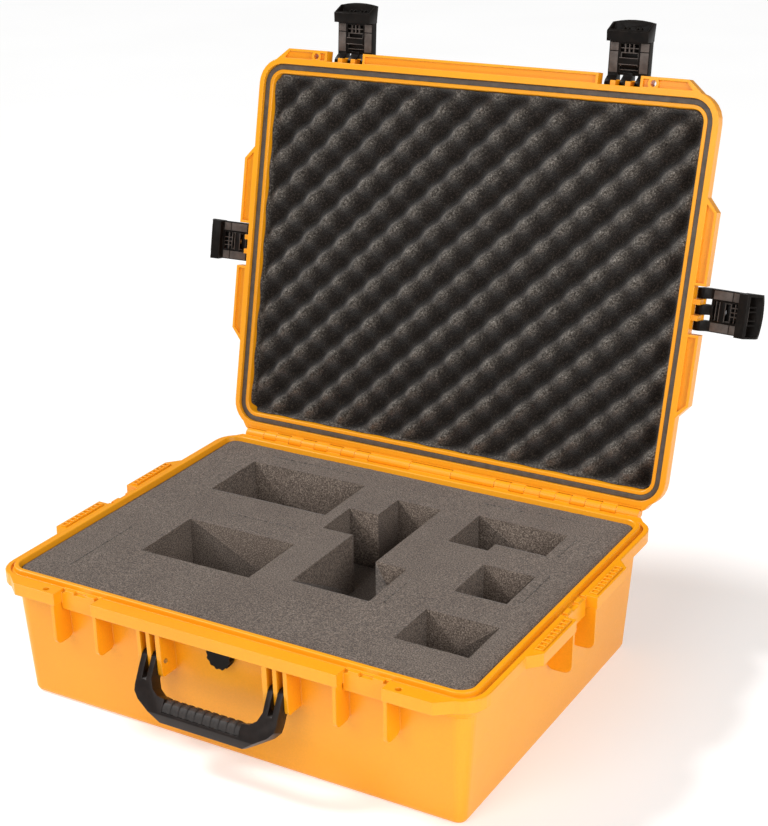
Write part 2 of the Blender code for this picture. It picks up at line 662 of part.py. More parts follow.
def valve_parts():
    """Valve body through the front wall, its cap, seal and inner nut."""
    body = cylinder((0, VALVE_Z), VALVE_RADIUS, -225.0, -221.8, "Y", 24, "valve_body")
    stem = cylinder((0, VALVE_Z), 8.0, -223.0, -210.0, "Y", 20)
    vent = cylinder((0, VALVE_Z), 3.0, -216.0, -208.0, "Y", 12)
    cut(unite(body, [stem]), [vent])
    rim = []
    for step in range(48):
        angle = 2 * math.pi * step / 48
        reach = VALVE_RADIUS - (1.3 if step % 4 in (0, 1) else 0.0)
        rim.append((reach * math.cos(angle), VALVE_Z + reach * math.sin(angle)))
    cap = prism(rim, -230.5, -225.3, "Y", "valve_cap")
    seal = cylinder((0, VALVE_Z), 12.5, -221.5, -220.4, "Y", 20, "valve_seal")
    cut(seal, [cylinder((0, VALVE_Z), 8.4, -225, -215, "Y", 20)])
    nut = cylinder((0, VALVE_Z), 13.0, -214.2, -210.6, "Y", 6, "valve_nut")
    cut(nut, [cylinder((0, VALVE_Z), 8.4, -220, -205, "Y", 20)])
    return body, cap, seal, nut


# ---------------------------------------------------------------- assembly

def empty(name, place, turn, parent=None):
    """An empty that carries the pieces of one moving body."""
    made = bpy.data.objects.new(name, None)
    made.location = Vector(place) * MM
    made.rotation_euler = turn
    made.parent = parent
    bpy.context.scene.collection.objects.link(made)
    return made


def hang(obj, parent, origin=(0.0, 0.0, 0.0)):
    """Parent an object to an empty, its mesh measured from the empty's place."""
    if any(origin):
        obj.data.transform(Matrix.Translation(-Vector(origin) * MM))
    obj.parent = parent
    return obj


def copy_of(source, name):
    made = bpy.data.objects.new(name, source.data)
    bpy.context.scene.collection.objects.link(made)
    return made


def paint(objects, finish):
    for obj in objects:
        obj.data.materials.clear()
        obj.data.materials.append(finish)


def build_base(finishes):
    """Everything that stays with the tub."""
    shell = base_shell()
    pins = [cylinder((HINGE_Y, HINGE_Z), HINGE_PIN_RADIUS, low, high, "X", 12, name)
            for name, (low, high) in zip(("hinge_pin_right", "hinge_pin_left"), mirrored((PIN_START, PIN_END)))]
    pivot = (HANDLE_PIVOT_Y, HANDLE_PIVOT_Z)
    low, high = HANDLE_LUGS[0][0] - 1.0, HANDLE_LUGS[2][1] - 2.3
    handle_pins = [cylinder(pivot, HANDLE_PIN_RADIUS, a, b, "X", 12, name)
                   for name, (a, b) in zip(("handle_pin_right", "handle_pin_left"), mirrored((low, high)))]
    body, cap, seal, nut = valve_parts()
    foams = [foam_top_layer(), foam_block("foam_lower_layer", PAD_TOP + SEAM, LAYER_SPLIT)]
    pad = foam_base_pad()
    paint([shell], finishes["shell"])
    paint(pins + handle_pins, finishes["steel"])
    paint([body, cap, nut], finishes["black"])
    paint([seal], finishes["rubber"])
    paint(foams + [pad], finishes["foam"])


def build_lid(finishes):
    """Everything that swings with the lid, on an empty at the hinge axis."""
    axis = (0.0, HINGE_Y, HINGE_Z)
    hinge = empty("lid_axis", axis, (-math.radians(LID_ANGLE), 0.0, 0.0))
    shell, gasket, foam = lid_shell(), lid_gasket(), lid_foam()
    for obj in (shell, gasket, foam):
        hang(obj, hinge, axis)
    paint([shell], finishes["shell"])
    paint([gasket], finishes["rubber"])
    paint([foam], finishes["lid_foam"])
    return hinge


def build_latches(hinge, finishes):
    """Four latches on the lid, swung out."""
    spring = coil("latch_spring", 3.4, 0.35, -7.5, -3.5, 2.67)
    parts = {"latch": latch_body(), "latch_button": latch_button(), "latch_spring": spring, "latch_pin": latch_pin()}
    paint([parts["latch"], parts["latch_button"]], finishes["black"])
    paint([parts["latch_spring"], parts["latch_pin"]], finishes["steel"])
    for place, centre, turn, _ in latch_places():
        origin = centre - Vector((0.0, HINGE_Y, HINGE_Z))
        axis = empty("latch_axis_" + place, origin, (-math.radians(LATCH_ANGLE), 0.0, turn), hinge)
        for kind, source in parts.items():
            hang(copy_of(source, kind + "_" + place), axis)
    for source in parts.values():
        bpy.data.objects.remove(source, do_unlink=True)


def build_handle(finishes):
    """Folding handle on an empty at its pivot."""
    axis = empty("handle_axis", (0.0, HANDLE_PIVOT_Y, HANDLE_PIVOT_Z), (-math.radians(HANDLE_TILT), 0.0, 0.0))
    frame, grip = hang(handle_frame(), axis), hang(handle_grip(), axis)
    paint([frame], finishes["black"])
    paint([grip], finishes["grip"])


def build():
    clear_scene()
    finishes = {
        "shell": material("shell_orange_yellow", (0.95, 0.42, 0.03), 0.42),
        "black": material("latch_black", (0.022, 0.020, 0.019), 0.45),
        "grip": material("grip_rubber", (0.030, 0.026, 0.025), 0.75),
        "rubber": material("seal_rubber", (0.045, 0.036, 0.030), 0.70),
        "steel": material("pin_steel", (0.60, 0.60, 0.62), 0.30, 1.0),
        "foam": material("base_foam", (0.135, 0.115, 0.105), 0.95),
        "lid_foam": material("lid_foam_dark", (0.030, 0.027, 0.026), 0.97),
    }
    build_base(finishes)
    build_latches(build_lid(finishes), finishes)
    build_handle(finishes)


build()
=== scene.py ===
"""Looks of the hard equipment case: fine geometry, materials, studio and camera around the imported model."""
import json
import math

import bmesh
import bpy
import numpy as np
from mathutils import Matrix, Vector


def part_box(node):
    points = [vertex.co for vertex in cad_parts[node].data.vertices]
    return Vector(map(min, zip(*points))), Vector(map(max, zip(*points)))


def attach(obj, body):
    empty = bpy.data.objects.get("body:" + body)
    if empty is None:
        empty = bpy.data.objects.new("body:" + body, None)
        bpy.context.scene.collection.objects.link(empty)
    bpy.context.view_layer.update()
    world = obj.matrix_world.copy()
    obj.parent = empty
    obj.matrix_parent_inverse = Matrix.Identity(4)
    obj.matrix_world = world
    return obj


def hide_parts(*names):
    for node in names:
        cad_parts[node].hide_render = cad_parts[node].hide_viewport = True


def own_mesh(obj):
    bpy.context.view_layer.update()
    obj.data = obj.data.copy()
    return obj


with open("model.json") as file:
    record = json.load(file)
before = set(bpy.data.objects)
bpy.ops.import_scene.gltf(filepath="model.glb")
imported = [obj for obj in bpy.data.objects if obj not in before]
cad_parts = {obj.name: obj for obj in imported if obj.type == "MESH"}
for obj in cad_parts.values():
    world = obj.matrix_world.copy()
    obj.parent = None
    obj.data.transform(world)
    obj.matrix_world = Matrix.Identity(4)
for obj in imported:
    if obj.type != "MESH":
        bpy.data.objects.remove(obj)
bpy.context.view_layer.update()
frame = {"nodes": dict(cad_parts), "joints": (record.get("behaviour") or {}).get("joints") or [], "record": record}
NODES = frame["nodes"]
JOINTS = {joint["name"]: joint for joint in frame["joints"]}
SLOTS = {part["node"]: part["material_slot"] for part in frame["record"]["subparts"]}
BODIES = frame["record"]["behaviour"]["bodies"]
BODY_OF = {node: body for body, members in BODIES.items() for node in members}

MM = 0.001
PLACES = ("front_left", "front_right", "side_left", "side_right")
HINGE = JOINTS["lid_hinge"]
LID_LEAN = math.radians(HINGE["range_deg"][1])
HINGE_AT = Vector(HINGE["pos_m"])
LID_TURN = Matrix.Translation(HINGE_AT) @ Matrix.Rotation(-LID_LEAN, 4, "X") @ Matrix.Translation(-HINGE_AT)

# Camera, in degrees, metres and millimetres of lens
VIEW_ANGLES = (32.16, 25.857, -1.534)    # round from the front, above the floor, roll
VIEW_FROM = (0.884105, -1.451918, 0.980245)
SENSOR_WIDTH = 36.0
FOCAL_LENGTH = 72.72
LENS_SHIFT = (0.0896, 0.1617)
VIEW_END = 60.0

# Foam, in metres
FOAM_STEP = 0.0030           # spacing of the grid under the foams' faces
FOAM_SKIN = 0.0009           # how far the faces stay inside the CAD solids
LID_FOAM_FACE = 0.1616       # height at which the lid foam's painted crest highlight is full, on the closed case
LID_FOAM_EDGE = (0.2788, 0.2153)
LID_SLAB = ((-0.29, 0.29), (-0.226, 0.226))
EGG_PITCH = 0.0486           # distance between crests along either side of the lid
EGG_DEPTH = 0.020
EGG_SHARPNESS = 1.4
EGG_SHIFT = (0.010, 0.0004)  # where the strong and the weak set of ridges start
EGG_STRENGTH = (0.37, 0.13)
HELD_DEPTH = 0.0022          # depth of the lid foam's face at its held edge
HELD_BAND = 0.0045
SLAB_EXTRA = 0.004           # how far a slab's back lies beyond the solid it is cut to
TOP_EXTRA = 0.01             # how far the top foam's slab lies beyond its sides
SUNK_DEPTH = 0.0016          # how far the top foam dips at its edges
SUNK_BAND = 0.007

# Rows of slits in the top foam, in millimetres: where each starts and stops, and its other coordinate
ROWS_ALONG_X = ((100, 160, 187.0), (168, 236, 192.0), (-200, -60, 190.0), (-150, -60, 20.0))
ROWS_ALONG_Y = ((96, 150, 235.0), (-20, 60, 246.0), (-90, -20, 118.0), (-180, -60, -232.0))
SLIT_PITCH = 9.0
SLIT_LENGTH = 6.0
SLIT_HALF = 0.35
SLIT_BOTTOM = 3.0
SLIT_TOP = 0.25

# Ladders on the base's wings, in millimetres
WING_TOP = 156.0
LADDER_RAILS = ((299.0, 300.2), (306.2, 307.4))
LADDER_ENDS = (33.0, 105.5)
RUNG_ENDS = (299.4, 307.0)
RUNG_COUNT = 10
RUNG_START = 34.2
RUNG_PITCH = 7.8
RUNG_HALF = 1.1
LADDER_SUNK = 0.6            # how far the ladders start below the wing's top
RAIL_RISE = 1.6
RUNG_RISE = 1.9

# Ledge of the lid over its hinge, in millimetres
LEDGE_HALF = 273.0
LEDGE_Y = (233.6, 245.0)
LEDGE_ABOVE_HINGE = 6.9
LEDGE_THICK = 1.2

# Studio, in metres and watts
FLOOR_HALF = 12.0
FLOOR_DROP = 0.0004
SUN_FROM = (-1.9, -0.30, 2.1)
SOFT_LIGHTS = (("front", (-0.3, -2.5, 1.9), 1.5, 32.0), ("side", (2.5, -0.9, 1.4), 1.6, 44.0))
LIGHTS_AIM = (0.0, 0.0, 0.2)


# ---------------------------------------------------------------- camera

def camera():
    """Camera at the picture's viewing angle."""
    azimuth, elevation, roll = (math.radians(angle) for angle in VIEW_ANGLES)
    level = math.cos(elevation)
    back = Vector((math.sin(azimuth) * level, -math.cos(azimuth) * level, math.sin(elevation)))
    right = Vector((0, 0, 1)).cross(back).normalized()
    up = back.cross(right)
    across = right * math.cos(roll) + up * math.sin(roll)
    above = -right * math.sin(roll) + up * math.cos(roll)
    lens = bpy.data.cameras.new("camera")
    lens.sensor_width = SENSOR_WIDTH
    lens.lens = FOCAL_LENGTH
    lens.shift_x, lens.shift_y = LENS_SHIFT
    lens.clip_end = VIEW_END
    made = bpy.data.objects.new("camera", lens)
    turn = Matrix((across, above, back)).transposed().to_4x4()
    made.matrix_world = Matrix.Translation(VIEW_FROM) @ turn
    bpy.context.scene.collection.objects.link(made)
    bpy.context.scene.camera = made


# ---------------------------------------------------------------- materials

class Paint:
    """Small helper that wires the nodes of one material."""

    def __init__(self, name):
        self.material = bpy.data.materials.new(name)
        self.material.use_nodes = True
        self.tree = self.material.node_tree
        self.shader = self.tree.nodes["Principled BSDF"]
        self.place = self.node("ShaderNodeTexCoord").outputs["Object"]

    def node(self, kind, **settings):
        made = self.tree.nodes.new(kind)
        for key, value in settings.items():
            setattr(made, key, value)
        return made

    def link(self, source, target):
        self.tree.links.new(source, target)

    def noise(self, scale, detail=2.0, roughness=0.5, stretch=None):
        texture = self.node("ShaderNodeTexNoise")
        texture.inputs["Scale"].default_value = scale
        texture.inputs["Detail"].default_value = detail
        texture.inputs["Roughness"].default_value = roughness
        source = self.place
        if stretch:
            mapping = self.node("ShaderNodeMapping")
            mapping.inputs["Scale"].default_value = stretch
            self.link(self.place, mapping.inputs["Vector"])
            source = mapping.outputs["Vector"]
        self.link(source, texture.inputs["Vector"])
        return texture.outputs["Fac"]

    def ramp(self, source, *stops):
        """A colour ramp: each stop is a position and a linear colour."""
        made = self.node("ShaderNodeValToRGB")
        elements = made.color_ramp.elements
        while len(elements) < len(stops):
            elements.new(0.5)
        for element, (position, colour) in zip(elements, stops):
            element.position = position
            element.color = (*colour, 1.0)
        self.link(source, made.inputs["Fac"])
        return made.outputs["Color"]

    def mix(self, factor, first, second, mode="MIX"):
        made = self.node("ShaderNodeMix", data_type="RGBA", blend_type=mode)
        for value, socket in ((factor, made.inputs[0]), (first, made.inputs[6]), (second, made.inputs[7])):
            if isinstance(value, bpy.types.NodeSocket):
                self.link(value, socket)
            elif isinstance(value, tuple):
                socket.default_value = (*value, 1.0)
            else:
                socket.default_value = value
        return made.outputs[2]

    def range(self, source, low, high):
        made = self.node("ShaderNodeMapRange")
        made.inputs["To Min"].default_value = low
        made.inputs["To Max"].default_value = high
        self.link(source, made.inputs["Value"])
        return made.outputs["Result"]

    def edges(self, radius, gain):
        """1 on corners within a radius, 0 on flats, from how far the rounded normal turns."""
        bevel = self.node("ShaderNodeBevel", samples=6)
        bevel.inputs["Radius"].default_value = radius
        flat = self.node("ShaderNodeNewGeometry").outputs["Normal"]
        dot = self.node("ShaderNodeVectorMath", operation="DOT_PRODUCT")
        self.link(bevel.outputs["Normal"], dot.inputs[0])
        self.link(flat, dot.inputs[1])
        turned = self.node("ShaderNodeMapRange")
        turned.inputs["From Min"].default_value = 1.0
        turned.inputs["From Max"].default_value = 1.0 - 1.0 / gain
        self.link(dot.outputs["Value"], turned.inputs["Value"])
        return turned.outputs["Result"], bevel.outputs["Normal"]

    def bump(self, height, distance, strength=1.0, normal=None):
        made = self.node("ShaderNodeBump")
        made.inputs["Distance"].default_value = distance
        made.inputs["Strength"].default_value = strength
        self.link(height, made.inputs["Height"])
        if normal is not None:
            self.link(normal, made.inputs["Normal"])
        return made.outputs["Normal"]

    def finish(self, colour, roughness, normal=None, **more):
        self.link(colour, self.shader.inputs["Base Color"])
        if isinstance(roughness, bpy.types.NodeSocket):
            self.link(roughness, self.shader.inputs["Roughness"])
        else:
            self.shader.inputs["Roughness"].default_value = roughness
        if normal is not None:
            self.link(normal, self.shader.inputs["Normal"])
        for key, value in more.items():
            self.shader.inputs[key.replace("_", " ")].default_value = value
        return self.material


def shell_plastic():
    """Orange-yellow moulded copolymer: faint flow variation, fine grain, slightly paler corners as a painted edge
    highlight and wear.
    """
    paint = Paint("shell_plastic")
    flow = paint.noise(5.0, 3.0, 0.6)
    colour = paint.ramp(flow, (0.30, (0.89, 0.335, 0.004)), (0.70, (0.93, 0.375, 0.006)))
    specks = paint.ramp(paint.noise(420.0, 3.0, 0.7), (0.40, (0.95, 0.95, 0.95)), (0.62, (1.0, 1.0, 1.0)))
    colour = paint.mix(1.0, colour, specks, "MULTIPLY")
    corner, rounded = paint.edges(0.0012, 5.0)
    # Paler corners: a painted highlight along the edges, also standing for wear.
    edge_highlight_and_wear = paint.range(corner, 0.0, 0.35)
    colour = paint.mix(edge_highlight_and_wear, colour, (1.0, 0.52, 0.08))
    grain = paint.noise(1500.0, 2.0, 0.6)
    normal = paint.bump(grain, 0.00012, 0.30, rounded)
    roughness = paint.range(paint.noise(60.0, 4.0, 0.6), 0.28, 0.38)
    return paint.finish(colour, roughness, normal, Specular_IOR_Level=0.45)


def black_plastic(name, dark, light, shine=0.10):
    """Satin nylon of latches, valve and handle, with paler edges: a painted edge highlight, also standing for
    rubbed wear.
    """
    paint = Paint(name)
    mottled = paint.noise(90.0, 4.0, 0.6)
    colour = paint.ramp(mottled, (0.35, dark), (0.70, light))
    corner, rounded = paint.edges(0.0005, 3.0)
    # Paler edges: a painted highlight along the corners, broken up by noise, also standing for rubbed wear.
    edge_highlight_and_wear = paint.mix(1.0, corner, paint.noise(250.0, 3.0, 0.7), "MULTIPLY")
    colour = paint.mix(paint.range(edge_highlight_and_wear, 0.0, 0.70), colour, (0.20, 0.17, 0.145))
    normal = paint.bump(paint.noise(1300.0, 2.0, 0.6), 0.0001, 0.35, rounded)
    roughness = paint.range(paint.noise(160.0, 3.0, 0.6), 0.30, 0.46)
    return paint.finish(colour, roughness, normal, Specular_IOR_Level=shine)


def grip_rubber():
    """Soft overmould of the handle, matt with a pebbled skin."""
    paint = Paint("grip_rubber")
    stops = (0.3, (0.009, 0.006, 0.005)), (0.75, (0.022, 0.015, 0.012))
    colour = paint.ramp(paint.noise(200.0, 4.0, 0.7), *stops)
    _, rounded = paint.edges(0.0008, 4.0)
    normal = paint.bump(paint.noise(900.0, 3.0, 0.6), 0.0002, 0.5, rounded)
    return paint.finish(colour, 0.62, normal)


def seal_rubber():
    """Grey-brown seal rubber with a dusty bloom."""
    paint = Paint("seal_rubber")
    stops = (0.30, (0.060, 0.045, 0.033)), (0.75, (0.120, 0.095, 0.075))
    colour = paint.ramp(paint.noise(120.0, 5.0, 0.7), *stops)
    normal = paint.bump(paint.noise(700.0, 2.0, 0.6), 0.0002, 0.4)
    return paint.finish(colour, 0.55, normal)


def pin_steel():
    """Plain drawn steel, its faint marks along the pin."""
    paint = Paint("pin_steel")
    colour = paint.ramp(paint.noise(300.0, 2.0, 0.5), (0.3, (0.48, 0.48, 0.50)), (0.7, (0.66, 0.66, 0.68)))
    marks = paint.noise(60.0, 3.0, 0.6, (1.0, 30.0, 30.0))
    return paint.finish(colour, paint.range(marks, 0.22, 0.42), paint.bump(marks, 0.00003, 0.4), Metallic=1.0)


def base_foam():
    """Warm grey-brown open-cell foam: salt and pepper cells over soft blotches."""
    paint = Paint("base_foam")
    cells = paint.noise(620.0, 4.0, 0.85)
    stops = (0.36, (0.022, 0.014, 0.010)), (0.50, (0.106, 0.078, 0.060)), (0.64, (0.320, 0.255, 0.205))
    colour = paint.ramp(cells, *stops)
    blotch = paint.ramp(paint.noise(14.0, 3.0, 0.6), (0.35, (0.86, 0.84, 0.83)), (0.65, (1.0, 1.0, 1.0)))
    colour = paint.mix(1.0, colour, blotch, "MULTIPLY")
    normal = paint.bump(cells, 0.0012, 0.8)
    return paint.finish(colour, 0.95, normal, Specular_IOR_Level=0.12, Sheen_Weight=0.15, Sheen_Roughness=0.6)


def lid_foam():
    """Near-black waved foam: painted shade between the waves, a painted highlight, patchy and fuzzy, along their
    crests.
    """
    paint = Paint("lid_foam")
    cells = paint.noise(430.0, 3.0, 0.9)
    stops = (0.42, (0.006, 0.004, 0.003)), (0.54, (0.016, 0.011, 0.008)), (0.66, (0.066, 0.052, 0.042))
    valley_painted_shade = paint.ramp(cells, *stops)
    stops = (0.38, (0.026, 0.022, 0.018)), (0.52, (0.110, 0.096, 0.082)), (0.64, (0.330, 0.300, 0.265))
    crest_painted_highlight = paint.ramp(cells, *stops)
    # The colour follows depth along the lid's outward direction: painted shade deep in the waves, a painted
    # highlight on their crests.
    outward = LID_TURN.to_3x3() @ Vector((0, 0, -1))
    crest_at = (LID_TURN @ Vector((0, 0, LID_FOAM_FACE))).dot(outward)
    along = paint.node("ShaderNodeVectorMath", operation="DOT_PRODUCT")
    along.inputs[1].default_value = outward
    paint.link(paint.place, along.inputs[0])
    level = paint.node("ShaderNodeMapRange", interpolation_type="SMOOTHSTEP")
    level.inputs["From Min"].default_value = crest_at - 0.7 * EGG_DEPTH
    level.inputs["From Max"].default_value = crest_at
    paint.link(along.outputs["Value"], level.inputs["Value"])
    crest_highlight_patches = paint.ramp(paint.noise(45.0, 4.0, 0.65), (0.30, (0.55, 0.55, 0.55)), (0.62, (1.0, 1.0, 1.0)))
    colour = paint.mix(paint.mix(1.0, level.outputs["Result"], crest_highlight_patches, "MULTIPLY"), valley_painted_shade, crest_painted_highlight)
    normal = paint.bump(cells, 0.0014, 0.9)
    return paint.finish(colour, 0.95, normal, Specular_IOR_Level=0.12, Sheen_Weight=0.2, Sheen_Roughness=0.5)


# ---------------------------------------------------------------- mesh tools

def piece(name, mesh, body, finish, stands_for=()):
    """An object for a finished mesh, riding on its body and standing for the CAD nodes it replaces."""
    made = bpy.data.objects.new(name, mesh)
    bpy.context.scene.collection.objects.link(made)
    mesh.materials.clear()
    mesh.materials.append(finish)
    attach(made, body)
    if stands_for:
        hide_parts(*stands_for)
    return made


def mesh_from(name, body, smooth=30.0):
    """A mesh from a bmesh, smooth except at corners sharper than the angle."""
    mesh = bpy.data.meshes.new(name)
    body.to_mesh(mesh)
    body.free()
    mesh.shade_smooth()
    mesh.set_sharp_from_angle(angle=math.radians(smooth))
    return mesh


def cleaned(node):
    """A bmesh of a CAD node with its flat faces whole again."""
    body = bmesh.new()
    body.from_mesh(NODES[node].data)
    bmesh.ops.remove_doubles(body, verts=body.verts, dist=0.000002)
    flat = math.radians(0.6)
    bmesh.ops.dissolve_limit(body, angle_limit=flat, verts=body.verts, edges=body.edges)
    return body


def bevelled(node, width, corner=35.0, segments=2):
    """A bmesh of a CAD node with rounded corners."""
    body = cleaned(node)
    limit = math.radians(corner)
    sharp = [edge for edge in body.edges if edge.is_manifold and edge.calc_face_angle(0.0) > limit]
    bmesh.ops.bevel(body, geom=sharp, offset=width, offset_type="OFFSET", segments=segments, profile=0.5,
                    affect="EDGES", clamp_overlap=True)
    return body


def add_box(body, low, high):
    """Adds a closed block between two corners to a bmesh."""
    made = bmesh.ops.create_cube(body, size=1.0)
    size = Vector(high) - Vector(low)
    centre = (Vector(high) + Vector(low)) / 2
    bmesh.ops.scale(body, vec=size, verts=made["verts"])
    bmesh.ops.translate(body, vec=centre, verts=made["verts"])
    return made["verts"]


def rounded_boxes(name, blocks, width):
    """A mesh of separate bevelled blocks, each given by its lowest and highest corner in millimetres."""
    body = bmesh.new()
    for low, high in blocks:
        add_box(body, Vector(low) * MM, Vector(high) * MM)
    bmesh.ops.bevel(body, geom=list(body.edges), offset=width * MM, segments=2, profile=0.5, affect="EDGES",
                    clamp_overlap=True)
    return mesh_from(name, body)


def intersect(slab, solid_node):
    """The part of a slab's mesh that lies inside a CAD node."""
    holder = bpy.data.objects.new("slab", slab)
    bpy.context.scene.collection.objects.link(holder)
    cutter = bpy.data.objects.new("cutter", NODES[solid_node].data)
    bpy.context.scene.collection.objects.link(cutter)
    modifier = holder.modifiers.new("cut", "BOOLEAN")
    modifier.operation = "INTERSECT"
    modifier.solver = "EXACT"
    modifier.object = cutter
    graph = bpy.context.evaluated_depsgraph_get()
    result = bpy.data.meshes.new_from_object(holder.evaluated_get(graph))
    bpy.data.objects.remove(holder, do_unlink=True)
    bpy.data.objects.remove(cutter, do_unlink=True)
    return result


def wavy_slab(name, x_range, y_range, step, back_z, height):
    """A closed block whose one face follows height(x, y): a grid of points, its back flat at back_z."""
    columns = int(round((x_range[1] - x_range[0]) / step)) + 1
    rows = int(round((y_range[1] - y_range[0]) / step)) + 1
    xs = np.linspace(*x_range, columns)
    ys = np.linspace(*y_range, rows)
    grid_x, grid_y = np.meshgrid(xs, ys)
    face = np.stack([grid_x, grid_y, height(grid_x, grid_y)], -1).reshape(-1, 3)
    around = ((0, 0), (-1, 0), (-1, -1), (0, -1))
    corners = [(xs[column], ys[row], back_z) for column, row in around]
    body = bmesh.new()
    points = [body.verts.new(point) for point in face]
    back = [body.verts.new(point) for point in corners]
    for row in range(rows - 1):
        for column in range(columns - 1):
            first = row * columns + column
            body.faces.new([points[i] for i in (first, first + 1, first + columns + 1, first + columns)])
    near = [points[i] for i in range(columns)]
    far = [points[(rows - 1) * columns + i] for i in range(columns)]
    left = [points[row * columns] for row in range(rows)]
    right = [points[row * columns + columns - 1] for row in range(rows)]
    body.faces.new([back[0], back[1]] + near[::-1])
    body.faces.new([back[2], back[3]] + far)
    body.faces.new([back[3], back[0]] + left)
    body.faces.new([back[1], back[2]] + right[::-1])
    body.faces.new([back[3], back[2], back[1], back[0]])
    bmesh.ops.recalc_face_normals(body, faces=body.faces)
    mesh = bpy.data.meshes.new(name)
    body.to_mesh(mesh)
    body.free()
    return mesh


# ---------------------------------------------------------------- foam

def lid_foam_piece(finish):
    """Waved foam: crests in a staggered grid, cut from the space of the lid's foam."""
    back_turn = LID_TURN.inverted()
    closed = [back_turn @ vertex.co for vertex in NODES["lid_foam"].data.vertices]
    low_z = min(point.z for point in closed)
    high_z = max(point.z for point in closed)

    def height(x, y):
        wave = 2 * math.pi / EGG_PITCH
        strong = EGG_STRENGTH[0] * np.cos(wave * (x + y - EGG_SHIFT[0]))
        weak = EGG_STRENGTH[1] * np.cos(wave * (x - y - EGG_SHIFT[1]))
        crest = (0.5 + (strong + weak)) ** EGG_SHARPNESS
        uneven = 0.0006 * np.sin(71 * x + 23 * y) * np.cos(57 * y - 31 * x)
        edge = np.minimum(LID_FOAM_EDGE[0] - np.abs(x), LID_FOAM_EDGE[1] - np.abs(y))
        held = np.exp(-np.clip(edge, 0, 1) / HELD_BAND)
        waved = EGG_DEPTH * (1 - crest) * (1 - held) + HELD_DEPTH * held
        return low_z + FOAM_SKIN + waved + uneven

    slab = wavy_slab("lid_foam_waved", *LID_SLAB, FOAM_STEP, high_z + SLAB_EXTRA, height)
    slab.transform(LID_TURN)
    mesh = intersect(slab, "lid_foam")
    mesh.shade_smooth()
    mesh.set_sharp_from_angle(angle=math.radians(42))
    made = piece("lid_foam_waved", mesh, "lid", finish, ["lid_foam"])


def top_foam_piece(finish):
    """Pluck foam: soft dents and a face that dips at its outer edges, cut from the space of the top layer."""
    low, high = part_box("foam_top_layer")

    def height(x, y):
        slow = np.sin(9 * x + 1.3) * np.cos(11 * y - 0.4) + 0.6 * np.sin(23 * x - 17 * y)
        fine = np.sin(310 * x + 40 * np.sin(19 * y)) * np.sin(290 * y + 30 * np.sin(23 * x))
        edge = np.minimum(high.x - np.abs(x), high.y - np.abs(y))
        sunk = SUNK_DEPTH * np.exp(-np.clip(edge, 0, 1) / SUNK_BAND)
        return high.z - FOAM_SKIN + 0.0004 * slow + 0.00022 * fine - sunk

    x_range = (low.x - TOP_EXTRA, high.x + TOP_EXTRA)
    y_range = (low.y - TOP_EXTRA, high.y + TOP_EXTRA)
    slab = wavy_slab("foam_top_plucked", x_range, y_range, FOAM_STEP, low.z - SLAB_EXTRA, height)
    mesh = intersect(slab, "foam_top_layer")
    mesh.shade_smooth()
    mesh.set_sharp_from_angle(angle=math.radians(42))
    made = piece("foam_top_plucked", mesh, "base", finish, ["foam_top_layer"])


def perforations(finish):
    """Short dark slits where the pluck foam has been torn along its rows: solid blocks of near-black foam as
    painted shade for the insides of the cuts.
    """
    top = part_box("foam_top_layer")[1].z / MM
    blocks = []
    for start, stop, y in ROWS_ALONG_X:
        for step in range(int((stop - start) / SLIT_PITCH)):
            x = start + SLIT_PITCH * step
            low = (x, y - SLIT_HALF, top - SLIT_BOTTOM)
            blocks.append((low, (x + SLIT_LENGTH, y + SLIT_HALF, top - SLIT_TOP)))
    for start, stop, x in ROWS_ALONG_Y:
        for step in range(int((stop - start) / SLIT_PITCH)):
            y = start + SLIT_PITCH * step
            low = (x - SLIT_HALF, y, top - SLIT_BOTTOM)
            blocks.append((low, (x + SLIT_HALF, y + SLIT_LENGTH, top - SLIT_TOP)))
    # The slits are solid dark blocks: painted shade standing for the shaded inside of each cut.
    piece("foam_perforations", rounded_boxes("foam_perforations", blocks, 0.1), "base", finish)


def foam_block_piece(node, name, finish):
    """A lower foam layer with softened corners."""
    body = bevelled(node, 0.0015, corner=50.0)
    made = piece(name, mesh_from(name, body), "base", finish, [node])


# ---------------------------------------------------------------- hard parts

def softened(node, width, corner, finish, segments=2):
    """A hard part of the CAD with rounded corners."""
    name = node + "_soft_edged"
    mesh = mesh_from(name, bevelled(node, width * MM, corner, segments))
    return piece(name, mesh, BODY_OF[node], finish, [node])


def wing_ladders(finish):
    """Cross ribs between two low ridges on top of each wing of the base."""
    low_z = WING_TOP - LADDER_SUNK
    for side in (-1, 1):
        for end, end_name in ((-1, "front"), (1, "rear")):
            blocks = []
            for rail in LADDER_RAILS:
                x = sorted(side * edge for edge in rail)
                y = sorted(end * edge for edge in LADDER_ENDS)
                blocks.append(((x[0], y[0], low_z), (x[1], y[1], WING_TOP + RAIL_RISE)))
            for step in range(RUNG_COUNT):
                at = end * (RUNG_START + RUNG_PITCH * step)
                x = sorted(side * edge for edge in RUNG_ENDS)
                blocks.append(((x[0], at - RUNG_HALF, low_z), (x[1], at + RUNG_HALF, WING_TOP + RUNG_RISE)))
            side_name = "left" if side < 0 else "right"
            name = "wing_ladder_%s_%s" % (end_name, side_name)
            piece(name, rounded_boxes(name, blocks, 0.35), "base", finish)


def hinge_cover(finish):
    """Thin ledge of the lid along the outside of the hinge, clear of the knuckles."""
    low = HINGE_AT.z / MM + LEDGE_ABOVE_HINGE
    block = ((-LEDGE_HALF, LEDGE_Y[0], low), (LEDGE_HALF, LEDGE_Y[1], low + LEDGE_THICK))
    mesh = rounded_boxes("hinge_cover", [block], 0.3)
    mesh.transform(LID_TURN)
    piece("hinge_cover", mesh, "lid", finish)


